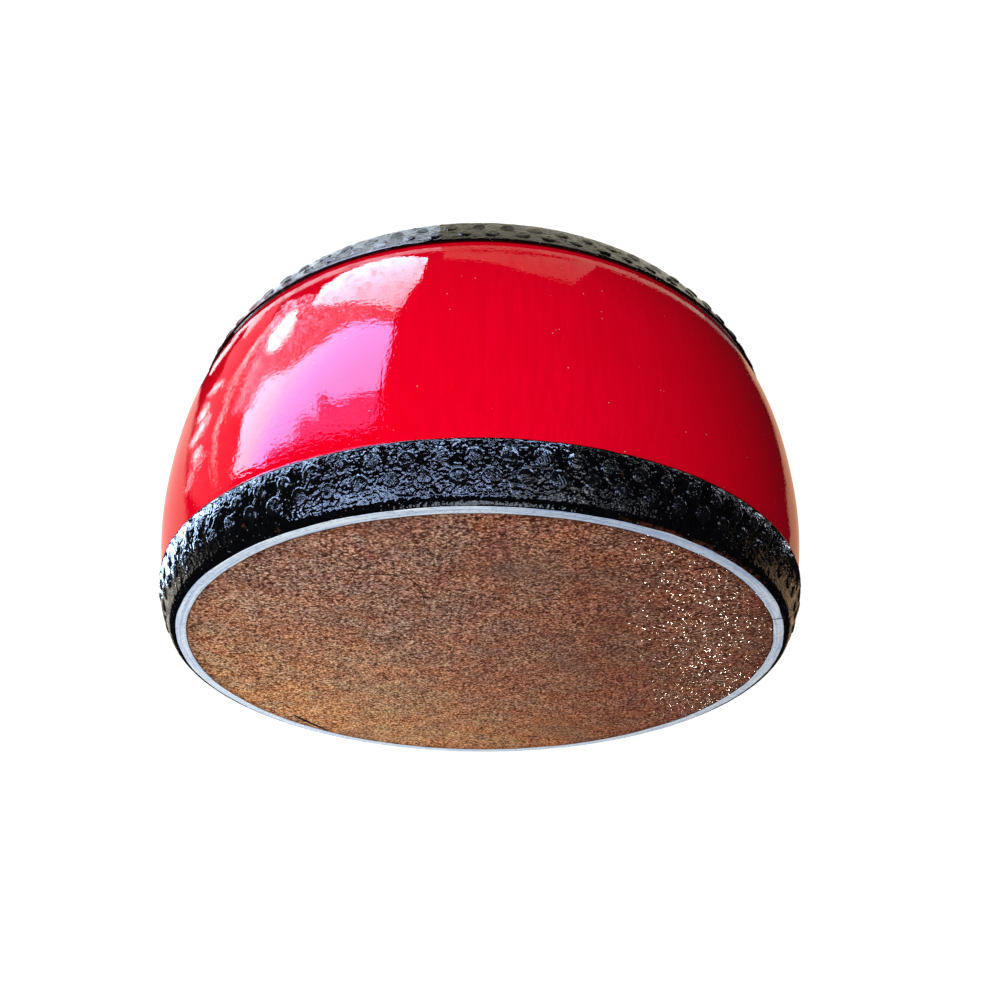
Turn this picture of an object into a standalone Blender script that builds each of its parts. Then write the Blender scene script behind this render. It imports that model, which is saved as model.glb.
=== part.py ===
"""Barrel drum: a wide, shallow drum of coopered staves that stands on one of its two hide heads.

The staves stand edge to edge round the drum, and a blind bamboo pin crosses each seam.
A hide is drawn over either end and folded down the outside of the wood as a skirt, which
two staggered rows of bamboo pegs hold. Lengths are in metres, and the drum's axis is Z.
"""

import math

import bmesh
import bpy
from mathutils import Matrix

# Driving dimensions of the wooden shell.
SHELL_HEIGHT = 0.2544
SHELL_END_RADIUS = 0.2532
SHELL_BULGE = 0.0273
BULGE_POWER = 2.3
SHOULDER_RADIUS = 0.0045
STAVE_THICKNESS = 0.022
STAVE_COUNT = 26

# Driving dimensions of the blind pins in the stave seams.
PIN_DIAMETER = 0.006
PIN_LENGTH = 0.026

# Driving dimensions of the hides and of the pegs' heads.
HIDE_THICKNESS = 0.0025
SKIRT_DEPTH = 0.0364
WHITE_RING_WIDTH = 0.0075
PEG_ROW_TO_EDGE = 0.0105
PEG_ROW_SPACING = 0.0118
PEG_HEAD_DIAMETER = 0.0128
PEG_HEAD_TOP_DIAMETER = 0.0104
PEG_HEAD_HEIGHT = 0.0014

# Gap between neighbouring pieces that touch on the real drum.
CLEARANCE = 0.0003

# How many pegs a stave takes in each row, and how many rows hold a hide.
PEGS_PER_STAVE = 3
PEG_ROWS = 2

# Flat faces that stand for the curved ones.
STAVE_FACETS = 3
BODY_STEPS = 3
SKIRT_STEPS = 2
STAVE_SHOULDER_STEPS = 2
HIDE_SHOULDER_STEPS = 3
INSIDE_STEPS = 4
PEG_SIDES = 6
PIN_SIDES = 6

# Places and sizes that follow from the driving dimensions. Profiles are measured from mid-height.
HALF_SHELL = SHELL_HEIGHT / 2
HALF_DRUM = HALF_SHELL + CLEARANCE + HIDE_THICKNESS
STAVE_ANGLE = 2 * math.pi / STAVE_COUNT
SKIRT_EDGE = HALF_SHELL - SKIRT_DEPTH
HIDE_INSIDE = CLEARANCE
HIDE_OUTSIDE = CLEARANCE + HIDE_THICKNESS
PEG_HEAD_SEAT = HIDE_THICKNESS / 2
SMOOTH_BELOW = math.radians(30)

# Linear colour, roughness and metallic value of each finish.
FINISHES = {
    "red_lacquer": ((0.52, 0.002, 0.010), 0.12, 0.0),
    "natural_hide": ((0.20, 0.085, 0.040), 0.62, 0.0),
    "white_paint": ((0.74, 0.76, 0.82), 0.45, 0.0),
    "black_gloss_paint": ((0.010, 0.010, 0.011), 0.28, 0.0),
    "bamboo": ((0.52, 0.36, 0.16), 0.60, 0.0),
}

# The finishes of a hide, in the order of its material slots, and two of their places there.
HIDE_FINISHES = ("natural_hide", "white_paint", "black_gloss_paint")
WHITE = HIDE_FINISHES.index("white_paint")
BLACK = HIDE_FINISHES.index("black_gloss_paint")


def clear_scene():
    for thing in list(bpy.data.objects):
        bpy.data.objects.remove(thing, do_unlink=True)


def make_finishes():
    """A Principled material for each entry of FINISHES."""
    made = {}
    for name, (colour, roughness, metallic) in FINISHES.items():
        material = bpy.data.materials.new(name)
        material.use_nodes = True
        shader = material.node_tree.nodes["Principled BSDF"]
        shader.inputs["Base Color"].default_value = (*colour, 1)
        shader.inputs["Roughness"].default_value = roughness
        shader.inputs["Metallic"].default_value = metallic
        material.diffuse_color = (*colour, 1)
        made[name] = material
    return made


def stations(first, last, steps):
    """Evenly spaced values from first to last, both included."""
    return [first + (last - first) * i / steps for i in range(steps + 1)]


def wall_radius(height):
    """Outer radius of the wood at a height above or below the drum's middle."""
    return SHELL_END_RADIUS + SHELL_BULGE * (1 - (abs(height) / HALF_SHELL) ** BULGE_POWER)


def wall_tilt(height):
    """Angle from the horizontal at which the wood's outer face looks up, above the middle."""
    share = (height / HALF_SHELL) ** (BULGE_POWER - 1)
    return math.atan(SHELL_BULGE * BULGE_POWER * share / HALF_SHELL)


def wall_point(height, offset):
    """Radius and height of a point that stands off the wood's outer face, square to it."""
    tilt = wall_tilt(height)
    return wall_radius(height) + offset * math.cos(tilt), height + offset * math.sin(tilt)


def end_line(offset, shoulder_steps):
    """Radii and heights from the skirt's edge up and over the shoulder, off the wood's face."""
    centre_height = HALF_SHELL - SHOULDER_RADIUS
    tilt = wall_tilt(centre_height)
    wall_end = centre_height + SHOULDER_RADIUS * math.sin(tilt)
    centre_radius = wall_radius(wall_end) - SHOULDER_RADIUS * math.cos(tilt)
    reach = SHOULDER_RADIUS + offset
    wall = [wall_point(height, offset) for height in stations(SKIRT_EDGE, wall_end, SKIRT_STEPS)]
    shoulder = [
        (centre_radius + reach * math.cos(angle), centre_height + reach * math.sin(angle))
        for angle in stations(tilt, math.pi / 2, shoulder_steps)[1:]
    ]
    return wall + shoulder


def on_circle(radius, angle, height):
    return radius * math.cos(angle), radius * math.sin(angle), height


def finished_mesh(name, bm):
    """The bmesh as a mesh with its faces turned outwards and its round faces shaded smooth."""
    bmesh.ops.recalc_face_normals(bm, faces=bm.faces)
    mesh = bpy.data.meshes.new(name)
    bm.to_mesh(mesh)
    bm.free()
    mesh.shade_smooth()
    mesh.set_sharp_from_angle(angle=SMOOTH_BELOW)
    return mesh


def boolean_mesh(name, mesh, tool_mesh, operation):
    """The mesh after one Boolean with the tool's mesh."""
    body = bpy.data.objects.new(name, mesh)
    tool = bpy.data.objects.new(name + "_tool", tool_mesh)
    for thing in (body, tool):
        bpy.context.scene.collection.objects.link(thing)
    tool.hide_render = True
    tool.display_type = "WIRE"
    change = body.modifiers.new(operation.lower(), "BOOLEAN")
    change.operation = operation
    change.object = tool
    change.material_mode = "TRANSFER"
    graph = bpy.context.evaluated_depsgraph_get()
    result = bpy.data.meshes.new_from_object(body.evaluated_get(graph), depsgraph=graph)
    result.name = name
    result.set_sharp_from_angle(angle=SMOOTH_BELOW)
    bpy.data.objects.remove(body)
    bpy.data.objects.remove(tool)
    return result


def stave_side(radius):
    """Half of the angle that a stave fills at a radius, short of the seam by half a clearance."""
    return STAVE_ANGLE / 2 - math.asin(CLEARANCE / 2 / radius)


def stave_blank():
    """A stave about +X: bowed outside in flats across its width, and planed flat inside."""
    upper = [wall_point(height, 0) for height in stations(0, SKIRT_EDGE, BODY_STEPS)][:-1]
    upper += end_line(0, STAVE_SHOULDER_STEPS)
    outside = [(radius, -height) for radius, height in reversed(upper[1:])] + upper
    inside = [
        (wall_radius(height) - STAVE_THICKNESS, height)
        for height in stations(-HALF_SHELL, HALF_SHELL, INSIDE_STEPS)
    ]
    bm = bmesh.new()
    outer_columns = []
    for angle in stations(-STAVE_ANGLE / 2, STAVE_ANGLE / 2, STAVE_FACETS):
        column = []
        for radius, height in outside:
            side = stave_side(radius)
            column.append(bm.verts.new(on_circle(radius, max(-side, min(side, angle)), height)))
        outer_columns.append(column)
    inner_columns = [
        [bm.verts.new(on_circle(radius, turn * stave_side(radius), height)) for radius, height in inside]
        for turn in (-1, 1)
    ]
    for columns in (outer_columns, inner_columns):
        for left, right in zip(columns, columns[1:]):
            for low in range(len(left) - 1):
                bm.faces.new((left[low], right[low], right[low + 1], left[low + 1]))
    for outer, inner in ((outer_columns[0], inner_columns[0]), (outer_columns[-1], inner_columns[-1])):
        bm.faces.new(outer + inner[::-1])
    round_stave = outer_columns + inner_columns[::-1]
    for end in (0, -1):
        bm.faces.new([column[end] for column in round_stave])
    return finished_mesh("stave_blank", bm)


def pin_radius():
    """Distance of the seam pins from the drum's axis: the middle of the stave's thickness."""
    return wall_radius(0) - STAVE_THICKNESS / 2


def pin_place(angle):
    """Stands a shape made along Z across the seam at an angle."""
    lying = Matrix.Translation((pin_radius(), 0, 0)) @ Matrix.Rotation(math.pi / 2, 4, "X")
    return Matrix.Rotation(angle, 4, "Z") @ lying


def add_prism(bm, sides, low_radius, high_radius, length, matrix):
    bmesh.ops.create_cone(
        bm,
        cap_ends=True,
        segments=sides,
        radius1=low_radius,
        radius2=high_radius,
        depth=length,
        matrix=matrix,
    )


def stave_mesh():
    """A stave with half of a blind pin hole in each of its two seams."""
    hole_radius = PIN_DIAMETER / 2 + CLEARANCE / math.cos(math.pi / PIN_SIDES)
    hole_length = PIN_LENGTH + 2 * CLEARANCE
    bm = bmesh.new()
    for turn in (-1, 1):
        add_prism(bm, PIN_SIDES, hole_radius, hole_radius, hole_length, pin_place(turn * STAVE_ANGLE / 2))
    return boolean_mesh("stave", stave_blank(), finished_mesh("pin_holes", bm), "DIFFERENCE")


def pin_mesh():
    """A bamboo pin about +X, lying across a seam."""
    pin_half = PIN_DIAMETER / 2
    bm = bmesh.new()
    add_prism(bm, PIN_SIDES, pin_half, pin_half, PIN_LENGTH, pin_place(0))
    return finished_mesh("seam_pin", bm)


def turn_loops(bm, line, count):
    """One loop of vertices for each point of the line, joined to the next by a band of faces."""
    loops = []
    for radius, height in line:
        angles = [STAVE_ANGLE / 2 + 2 * math.pi * i / count for i in range(count)]
        loops.append([bm.verts.new(on_circle(radius, angle, height)) for angle in angles])
    for below, above in zip(loops, loops[1:]):
        for i in range(count):
            bm.faces.new((below[i - 1], below[i], above[i], above[i - 1]))
    return loops


def bare_hide(finishes):
    """A hide without its pegs, over the upper end: head, rounded shoulder and skirt."""
    outside = end_line(HIDE_OUTSIDE, HIDE_SHOULDER_STEPS)
    ring_inside = (outside[-1][0] - WHITE_RING_WIDTH, outside[-1][1])
    inside = end_line(HIDE_INSIDE, STAVE_SHOULDER_STEPS)
    count = STAVE_COUNT * STAVE_FACETS
    bm = bmesh.new()
    loops = turn_loops(bm, inside[::-1] + outside + [ring_inside], count)
    for rim in (loops[0], loops[-1]):
        bm.faces.new(rim)
    head_face_height = outside[-1][1]
    for face in bm.faces:
        on_top = all(abs(vert.co.z - head_face_height) < CLEARANCE / 2 for vert in face.verts)
        if not on_top:
            face.material_index = BLACK
        elif face.calc_center_median().xy.length > ring_inside[0] / 2:
            face.material_index = WHITE
    mesh = finished_mesh("bare_hide", bm)
    for name in HIDE_FINISHES:
        mesh.materials.append(finishes[name])
    return mesh


def peg_heads(finishes):
    """The bamboo pegs' heads round the upper skirt: low, tapered, and sunk half into the hide."""
    bm = bmesh.new()
    pegs_in_row = STAVE_COUNT * PEGS_PER_STAVE
    foot_radius = PEG_HEAD_DIAMETER / 2
    top_radius = PEG_HEAD_TOP_DIAMETER / 2
    length = PEG_HEAD_SEAT + PEG_HEAD_HEIGHT
    for row in range(PEG_ROWS):
        height = SKIRT_EDGE + PEG_ROW_TO_EDGE + row * PEG_ROW_SPACING
        radius, head_height = wall_point(height, HIDE_OUTSIDE + (PEG_HEAD_HEIGHT - PEG_HEAD_SEAT) / 2)
        stagger = (row + 0.5) / PEG_ROWS
        for peg in range(pegs_in_row):
            angle = STAVE_ANGLE / 2 + 2 * math.pi * (peg + stagger) / pegs_in_row
            seat = Matrix.Rotation(angle, 4, "Z") @ Matrix.Translation((radius, 0, head_height))
            outwards = Matrix.Rotation(math.pi / 2 - wall_tilt(height), 4, "Y")
            add_prism(bm, PEG_SIDES, foot_radius, top_radius, length, seat @ outwards)
    mesh = finished_mesh("peg_heads", bm)
    mesh.materials.append(finishes["black_gloss_paint"])
    return mesh


def hide_mesh(finishes):
    return boolean_mesh("hide", bare_hide(finishes), peg_heads(finishes), "UNION")


def place(name, mesh, parent, rotation=(0, 0, 0)):
    """A piece of the drum, turned about the middle of the drum's axis."""
    piece = bpy.data.objects.new(name, mesh)
    piece.rotation_euler = rotation
    piece.parent = parent
    bpy.context.scene.collection.objects.link(piece)
    return piece


def build():
    clear_scene()
    finishes = make_finishes()
    middle = bpy.data.objects.new("drum_middle", None)
    middle.location = (0, 0, HALF_DRUM)
    bpy.context.scene.collection.objects.link(middle)

    stave = stave_mesh()
    stave.materials.append(finishes["red_lacquer"])
    pin = pin_mesh()
    pin.materials.append(finishes["bamboo"])
    for i in range(STAVE_COUNT):
        place(f"stave_{i + 1:02d}", stave, middle, (0, 0, i * STAVE_ANGLE))
        place(f"seam_pin_{i + 1:02d}", pin, middle, (0, 0, (i + 0.5) * STAVE_ANGLE))

    hide = hide_mesh(finishes)
    place("top_hide", hide, middle)
    place("bottom_hide", hide, middle, (math.pi, 0, 0))


build()
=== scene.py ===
"""Looks of the barrel drum: lacquered staves, brown hide heads, white rings, black pegged skirts."""

import math

import bpy
import numpy as np
from mathutils import Matrix, Vector


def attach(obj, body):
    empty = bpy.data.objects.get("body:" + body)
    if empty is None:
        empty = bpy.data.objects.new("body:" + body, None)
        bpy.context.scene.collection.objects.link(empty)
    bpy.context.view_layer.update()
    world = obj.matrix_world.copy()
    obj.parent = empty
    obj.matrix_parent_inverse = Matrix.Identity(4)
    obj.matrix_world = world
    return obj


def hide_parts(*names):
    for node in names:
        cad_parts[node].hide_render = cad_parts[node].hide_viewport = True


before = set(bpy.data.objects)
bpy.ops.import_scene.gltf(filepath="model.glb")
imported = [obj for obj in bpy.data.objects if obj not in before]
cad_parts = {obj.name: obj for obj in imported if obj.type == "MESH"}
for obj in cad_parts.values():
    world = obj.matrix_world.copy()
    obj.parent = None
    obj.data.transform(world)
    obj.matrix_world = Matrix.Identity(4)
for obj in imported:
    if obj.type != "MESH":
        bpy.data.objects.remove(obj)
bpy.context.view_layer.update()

# The drum's own dimensions, in metres. Heights in a profile are measured from mid-height.
SHELL_HEIGHT = 0.2544
SHELL_END_RADIUS = 0.2532
SHELL_BULGE = 0.0273
BULGE_POWER = 2.3
SHOULDER_RADIUS = 0.0045
STAVE_THICKNESS = 0.022
STAVE_COUNT = 26
HIDE_THICKNESS = 0.0025
SKIRT_DEPTH = 0.0364
WHITE_RING_WIDTH = 0.0075
PEG_ROW_TO_EDGE = 0.0105
PEG_ROW_SPACING = 0.0118
PEG_HEAD_DIAMETER = 0.0128
PEGS_IN_ROW = 78
CLEARANCE = 0.0003
HALF_SHELL = SHELL_HEIGHT / 2
HALF_DRUM = HALF_SHELL + CLEARANCE + HIDE_THICKNESS
STAVE_ANGLE = 2 * math.pi / STAVE_COUNT
SKIRT_EDGE = HALF_SHELL - SKIRT_DEPTH
HIDE_OUTSIDE = CLEARANCE + HIDE_THICKNESS
SKIRT_GIRTH = 2 * math.pi * 0.262

# How the looks differ from the CAD's surfaces, in metres.
LACQUER_INSET = 0.00030
HEAD_INSET = 0.00030
SEAM_HALF_GAP = 0.00001
SEAM_DEPTH = 0.00002
SEAM_WIDTH = 0.0010
SKIRT_THICKNESS = 0.0019


def wall_radius(height):
    return SHELL_END_RADIUS + SHELL_BULGE * (1 - (np.abs(height) / HALF_SHELL) ** BULGE_POWER)


def wall_tilt(height):
    share = np.sign(height) * (np.abs(height) / HALF_SHELL) ** (BULGE_POWER - 1)
    return np.arctan(SHELL_BULGE * BULGE_POWER * share / HALF_SHELL)


SHOULDER_HEIGHT = HALF_SHELL - SHOULDER_RADIUS
SHOULDER_TILT = float(wall_tilt(SHOULDER_HEIGHT))
WALL_END = SHOULDER_HEIGHT + SHOULDER_RADIUS * math.sin(SHOULDER_TILT)
FLAT_RADIUS = float(wall_radius(WALL_END)) - SHOULDER_RADIUS * math.cos(SHOULDER_TILT)
RING_INSIDE = FLAT_RADIUS - WHITE_RING_WIDTH


# Meshes and noise.


def loop_quads(low, high):
    """Four-sided faces between closed loops, which are given by the numbers of their points."""
    return np.stack([low, np.roll(low, -1, 1), np.roll(high, -1, 1), high], -1).reshape(-1, 4)


def grid_mesh(name, points, close_rows=False, caps=False):
    """A mesh over rows of points, each row a closed loop. Faces are turned outwards."""
    rows, columns = points.shape[:2]
    index = np.arange(rows * columns).reshape(rows, columns)
    quads = loop_quads(index, np.roll(index, -1, 0)) if close_rows else loop_quads(index[:-1], index[1:])
    faces = quads.tolist()
    if caps:
        faces += [index[0][::-1].tolist(), index[-1].tolist()]
    flat = points.reshape(-1, 3)
    corners = flat[quads]
    volume = np.einsum("ij,ij->i", corners[:, 0], np.cross(corners[:, 1], corners[:, 2])).sum()
    if volume < 0:
        faces = [face[::-1] for face in faces]
    mesh = bpy.data.meshes.new(name)
    mesh.from_pydata(flat.tolist(), [], faces)
    mesh.shade_smooth()
    return mesh


def loops(radii, heights, turn):
    """Places from radii, heights over the drum's middle, and angles."""
    return np.stack([radii * np.cos(turn), radii * np.sin(turn), heights + HALF_DRUM], -1)


def place_in_scene(name, data):
    made = bpy.data.objects.new(name, data)
    bpy.context.scene.collection.objects.link(made)
    return made


def add_piece(name, mesh, material, nodes, matrix=None):
    piece = place_in_scene(name, mesh)
    if matrix is not None:
        piece.matrix_world = matrix
    if not mesh.materials:
        mesh.materials.append(material)
    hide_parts(*nodes)
    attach(piece, "root")


def fade(t):
    """From 0 to 1, level at both ends."""
    return t * t * t * (t * (6 * t - 15) + 10)


def lattice_noise(seed, across, along, cells):
    """Smooth noise from -1 to 1. It repeats after the given number of cells across."""
    rng = np.random.default_rng(seed)
    low = math.floor(float(np.min(along)))
    high = math.ceil(float(np.max(along))) + 2
    values = rng.uniform(-1, 1, (cells, high - low + 1))
    u, v = across * cells, along - low
    i, j = np.floor(u).astype(int), np.floor(v).astype(int)
    s, t = fade(u - i), fade(v - j)
    i0, i1 = i % cells, (i + 1) % cells
    below = values[i0, j] * (1 - s) + values[i1, j] * s
    above = values[i0, j + 1] * (1 - s) + values[i1, j + 1] * s
    return below * (1 - t) + above * t


def rough(seed, across, along, size, octaves=3, fall=0.55):
    """Layered noise on the skirt: across is the share of a turn, along and size are metres."""
    total, weight = 0, 1
    for octave in range(octaves):
        cells = max(3, round(SKIRT_GIRTH / size))
        total = total + weight * lattice_noise(seed + octave, across, along / size, cells)
        weight *= fall
        size /= 2
    return total


# The lacquered staves.


# Unevenness of the lacquer: seed, rise and upright length of the waves in metres, and waves in a turn.
LACQUER_WAVES = [(11, 0.00010, 0.090, 20), (12, 0.00003, 0.040, 60), (13, 0.000012, 0.030, 150)]
# Ridges of lacquer along a skirt: rise, distance from the skirt and width, in metres.
BEAD = (0.00010, 0.0010, 0.0005)
OVERLAP = (0.00003, 0.0048, 0.0010)


def lacquer_wave(angle, height):
    """How far the lacquered surface stands off the true barrel."""
    across = (angle / (2 * math.pi)) % 1
    total = 0
    for seed, rise, length, waves in LACQUER_WAVES:
        total = total + rise * lattice_noise(seed, across, height / length, waves)
    from_edge = SKIRT_EDGE - np.abs(height)
    wander = 0.0004 * lattice_noise(14, across, height / 0.5, 90)
    for (rise, at, width), sway in ((BEAD, 0.5 * wander), (OVERLAP, wander)):
        total = total + rise * np.exp(-(((from_edge - at + sway) / width) ** 2))
    return total - LACQUER_INSET


def stave_heights():
    """Heights of a stave's upper half. They lie closest beside the skirt's edge."""
    close_from, close_to = SKIRT_EDGE - 0.009, SKIRT_EDGE + 0.001
    body = np.linspace(0, close_from, 30)[:-1]
    edge = np.linspace(close_from, close_to, 36)[:-1]
    return np.concatenate([body, edge, np.linspace(close_to, WALL_END, 6)])


def stave_points(number):
    """Loops round a stave, from its lower end to its upper end."""
    middle = number * STAVE_ANGLE
    upper = stave_heights()
    heights = np.concatenate([-upper[:0:-1], upper])
    radii = wall_radius(heights)
    turns = np.linspace(SHOULDER_TILT, math.pi / 2, 5)[1:]
    arc_radii = FLAT_RADIUS + SHOULDER_RADIUS * np.cos(turns)
    arc_heights = SHOULDER_HEIGHT + SHOULDER_RADIUS * np.sin(turns)
    heights = np.concatenate([-arc_heights[::-1], heights, arc_heights])
    radii = np.concatenate([arc_radii[::-1], radii, arc_radii])
    share = np.sin(np.linspace(-math.pi / 2, math.pi / 2, 23))
    share = np.sign(share) * np.abs(share) ** 0.9
    side = STAVE_ANGLE / 2 - SEAM_HALF_GAP / SHELL_END_RADIUS
    angles = middle + share * side
    seam = SEAM_DEPTH * np.exp(-((((1 - np.abs(share)) * side * SHELL_END_RADIUS) / SEAM_WIDTH) ** 2))
    grid_angle, grid_height = np.meshgrid(angles, heights)
    outer = radii[:, None] + lacquer_wave(grid_angle, grid_height) - seam[None, :]
    inner_angle, inner_height = np.meshgrid([middle + side, middle - side], heights)
    radii = np.concatenate([outer, wall_radius(inner_height) - STAVE_THICKNESS], 1)
    turn = np.concatenate([grid_angle, inner_angle], 1)
    return loops(radii, np.concatenate([grid_height, inner_height], 1), turn)


def add_staves(material):
    for number in range(STAVE_COUNT):
        name = f"stave_{number + 1:02d}"
        mesh = grid_mesh("lacquered_" + name, stave_points(number), caps=True)
        mesh.set_sharp_from_angle(angle=math.radians(40))
        add_piece("lacquered_" + name, mesh, material, [name])


# The painted skirt of a hide.


def skirt_line():
    """Radius, height and outward direction along the hide, from the skirt's edge to under the ring."""
    heights = np.linspace(SKIRT_EDGE, WALL_END, 400)
    tilt = wall_tilt(heights)
    out = np.cos(tilt), np.sin(tilt)
    wall = [wall_radius(heights) + HIDE_OUTSIDE * out[0], heights + HIDE_OUTSIDE * out[1], *out]
    reach = SHOULDER_RADIUS + HIDE_OUTSIDE
    turn = np.linspace(SHOULDER_TILT, math.pi / 2, 100)[1:]
    out = np.cos(turn), np.sin(turn)
    arc = [FLAT_RADIUS + reach * out[0], SHOULDER_HEIGHT + reach * out[1], *out]
    flat_radii = np.linspace(FLAT_RADIUS, FLAT_RADIUS - 0.005, 30)[1:]
    level = np.ones_like(flat_radii)
    flat = [flat_radii, level * HALF_DRUM, 0 * level, level]
    return np.concatenate([wall, arc, flat], 1).T


def peg_places():
    """Angle and profile height of each peg of the upper hide, row by row."""
    places = []
    for row in range(2):
        height = SKIRT_EDGE + PEG_ROW_TO_EDGE + row * PEG_ROW_SPACING
        for peg in range(PEGS_IN_ROW):
            angle = STAVE_ANGLE / 2 + 2 * math.pi * (peg + (row + 0.5) / 2) / PEGS_IN_ROW
            places.append((row, angle, height))
    return places


def stamp(field, turn_step, along_step, angle, along, reach, shape):
    """Adds shape(dx, dy) to the part of the field within reach of a spot. Columns wrap."""
    rows, columns = field.shape
    column = angle / (2 * math.pi) * columns
    row = along / along_step
    wide, tall = int(reach / turn_step) + 2, int(reach / along_step) + 2
    c = np.arange(math.floor(column) - wide, math.ceil(column) + wide + 1)
    r = np.arange(max(0, math.floor(row) - tall), min(rows, math.ceil(row) + tall + 1))
    if not len(r):
        return
    dx = ((c - column) * turn_step)[None, :]
    dy = ((r - row) * along_step)[:, None]
    field[np.ix_(r, c % columns)] += shape(dx, dy)


def segment_distance(x, y, x0, y0, x1, y1):
    """The distance of places from a line, and how far along the line each one's nearest point is."""
    lx, ly = x1 - x0, y1 - y0
    t = np.clip(((x - x0) * lx + (y - y0) * ly) / (lx * lx + ly * ly + 1e-12), 0, 1)
    return np.hypot(x - x0 - t * lx, y - y0 - t * ly), t


def thread(rng, length, width, lift, heading):
    """A raised or sunken thread of hide or paint, gently bent and thinning to its ends."""
    steps = 5
    bend = rng.normal(0, 0.25)
    points = [(0.0, 0.0)]
    for i in range(steps):
        way = heading + bend * (i - steps / 2) / steps * 2
        x, y = points[-1]
        points.append((x + length / steps * math.cos(way), y + length / steps * math.sin(way)))
    cx, cy = points[steps // 2]
    points = [(x - cx, y - cy) for x, y in points]

    def shape(dx, dy):
        best = np.full(np.broadcast(dx, dy).shape, 1.0)
        along = np.zeros_like(best)
        for i in range(steps):
            d, t = segment_distance(dx, dy, *points[i], *points[i + 1])
            nearer = d < best
            best = np.where(nearer, d, best)
            along = np.where(nearer, (i + t) / steps, along)
        taper = np.sin(math.pi * np.clip(along, 0.03, 0.97)) ** 0.5
        return lift * taper * np.exp(-((best / (width * taper)) ** 2))

    return shape


# The skirt's wrinkles, in metres. Its wall leans, so the way along it is longer than its height.
SKIRT_COLUMNS = 2400
SKIRT_ROWS = 72
SKIRT_SEED = 5
ALONG_PER_HEIGHT = 1.03
COLLAR_RISE = 0.00022
COLLAR_RADIUS = 0.0078
STRAND_SHARE = 0.55
THREAD_COUNT = 520


def skirt_relief(columns, rows, length):
    """Height of the wrinkled, thickly painted hide over its smooth form."""
    rng = np.random.default_rng(SKIRT_SEED)
    across = (np.arange(columns) / columns)[None, :] * np.ones((rows, 1))
    along = (np.linspace(0, length, rows))[:, None] * np.ones((1, columns))
    turn_step, along_step = SKIRT_GIRTH / columns, length / (rows - 1)
    crinkle = 1 - 2 * np.abs(rough(21, across, along, 0.0060, 3))
    fine = rough(31, across, along, 0.0024, 2)
    folds = 1 - 2 * np.abs(rough(41, across + 0.0012 * np.sin(along * 300), along / 2.2, 0.0130, 2))
    patch = 0.5 + 0.5 * rough(51, across, along, 0.045, 2)
    relief = 0.00010 * crinkle + 0.00015 * fine + 0.00010 * folds
    relief *= np.clip(0.30 + 1.0 * patch, 0.2, 1.4)
    for row, angle, height in peg_places():
        at = (height - SKIRT_EDGE) * ALONG_PER_HEIGHT
        phase = rng.uniform(0, 2 * math.pi)

        def collar(dx, dy, phase=phase):
            d = np.hypot(dx, dy)
            sway = 0.7 + 0.3 * np.cos(np.arctan2(dy, dx) - phase)
            return COLLAR_RISE * sway * np.exp(-((d / COLLAR_RADIUS) ** 4))

        stamp(relief, turn_step, along_step, angle, at, 0.012, collar)
        if rng.random() < STRAND_SHARE:
            step = rng.choice([-1, 1])
            rise = PEG_ROW_SPACING * (1 if row == 0 else -1) * rng.choice([1, 1, 0.2])
            run = math.pi / PEGS_IN_ROW * SKIRT_GIRTH / (2 * math.pi) * step
            heading = math.atan2(rise, run)
            reach = math.hypot(rise, run) * rng.uniform(0.7, 1.3)
            strand = thread(rng, reach, rng.uniform(0.0003, 0.0006), rng.uniform(0.0003, 0.0006), heading)
            middle = angle + run / SKIRT_GIRTH * math.pi
            stamp(relief, turn_step, along_step, middle, at + rise / 2, reach, strand)
    for _ in range(THREAD_COUNT):
        angle, at = rng.uniform(0, 2 * math.pi), rng.uniform(-0.002, 0.036)
        reach = rng.uniform(0.003, 0.016)
        width = rng.uniform(0.0003, 0.0006)
        lift = rng.choice([-0.00030, 0.00030, 0.00050]) * rng.uniform(0.5, 1.1)
        heading = rng.choice([0.5, -0.5, 0.1, -0.1, 1.2]) + rng.normal(0, 0.35)
        stamp(relief, turn_step, along_step, angle, at, reach, thread(rng, reach, width, lift, heading))
    return relief, across, along


def skirt_points():
    """Loops round the skirt's wrinkled outside, and back along its smooth inside."""
    line = skirt_line()
    steps = np.hypot(*np.diff(line[:, :2], axis=0).T)
    travelled = np.concatenate([[0], np.cumsum(steps)])
    length = travelled[-1]

    def on_line(along):
        return [np.interp(along, travelled, column) for column in line.T]

    relief, across, along = skirt_relief(SKIRT_COLUMNS, SKIRT_ROWS, length)
    edge_wave = 0.0005 * rough(61, across[:1], 0 * across[:1], 0.016, 3)
    along = length - (length - along) * (1 - edge_wave / length)
    along = np.clip(along, 0, length)
    # The relief fades out towards the ring, and it thins to an edge at the skirt's end.
    fade_from, fade_length, edge_length = 0.036, 0.006, 0.0012
    at_top = np.clip((along - fade_from) / fade_length, 0, 1)
    relief = relief * (1 - 0.75 * at_top) - HEAD_INSET * at_top
    near_edge = np.clip(along / edge_length, 0, 1)
    relief = relief * near_edge - 0.0006 * (1 - near_edge) ** 2
    radius, height, out_r, out_h = on_line(along)
    inside = np.linspace(1, 0, 7)[:, None] * (length - 0.0005) * np.ones_like(across[:1])
    inner_radius, inner_height, in_r, in_h = on_line(inside)
    radius = np.concatenate([radius + relief * out_r, inner_radius - SKIRT_THICKNESS * in_r])
    height = np.concatenate([height + relief * out_h, inner_height - SKIRT_THICKNESS * in_h])
    return loops(radius, height, across[:1] * 2 * math.pi)


# The ring, the head and the pegs.


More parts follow.
